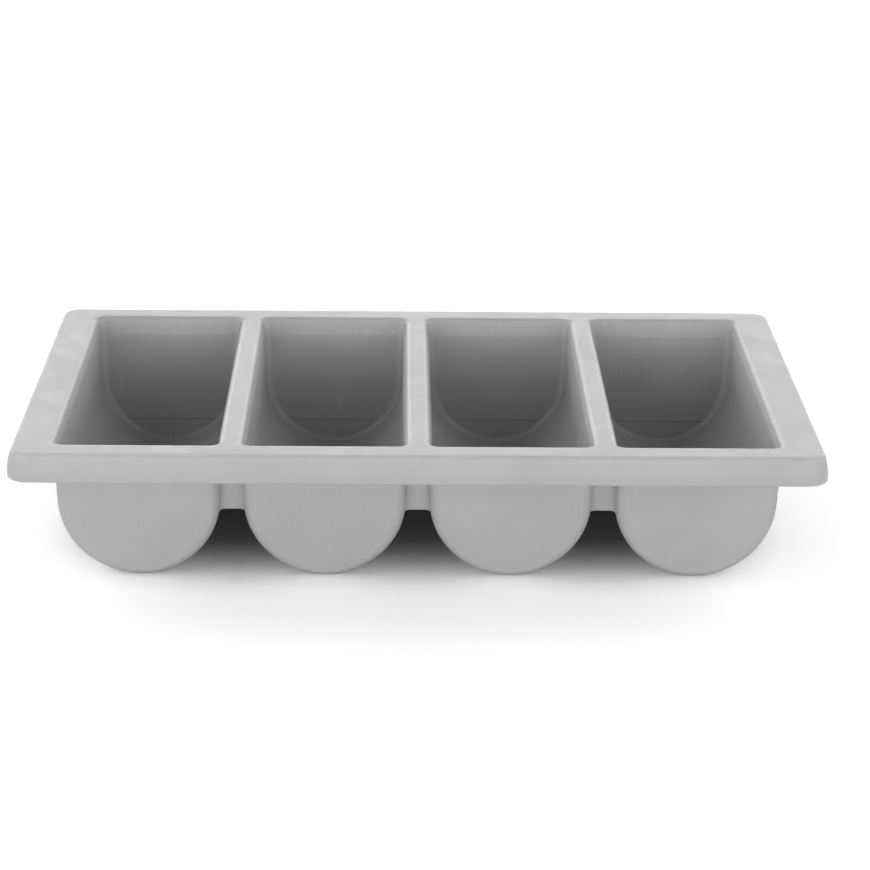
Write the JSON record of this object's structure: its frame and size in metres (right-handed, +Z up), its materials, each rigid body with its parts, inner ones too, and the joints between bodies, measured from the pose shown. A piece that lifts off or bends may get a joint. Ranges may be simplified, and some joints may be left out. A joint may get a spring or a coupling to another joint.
{
  "type": "cutlery tray",
  "caption": "Shallow rectangular cutlery tray with a row of open round-bottomed compartments hung from one broad rounded rim, for sorting and carrying table cutlery.",
  "frame": {"origin": "on the ground under the middle of the tray, level with the lowest lines of the round compartments", "axes": "+X along the tray's length, +Y from front to rear, +Z up through the open mouths"},
  "size_m": [0.53, 0.325, 0.095],
  "materials": {
    "grey_polypropylene": "satin light-grey moulded polypropylene"
  },
  "bodies": {
    "root": {"rim_front": "grey_polypropylene", "rim_rear": "grey_polypropylene", "rim_left": "grey_polypropylene", "rim_right": "grey_polypropylene", "corner_front_left": "grey_polypropylene", "corner_front_right": "grey_polypropylene", "corner_rear_left": "grey_polypropylene", "corner_rear_right": "grey_polypropylene", "divider_left": "grey_polypropylene", "divider_middle": "grey_polypropylene", "divider_right": "grey_polypropylene", "bin_outer_left": "grey_polypropylene", "bin_inner_left": "grey_polypropylene", "bin_inner_right": "grey_polypropylene", "bin_outer_right": "grey_polypropylene", "web_front_left": "grey_polypropylene", "web_front_middle": "grey_polypropylene", "web_front_right": "grey_polypropylene", "web_rear_left": "grey_polypropylene", "web_rear_middle": "grey_polypropylene", "web_rear_right": "grey_polypropylene"}
  },
  "joints": []
}
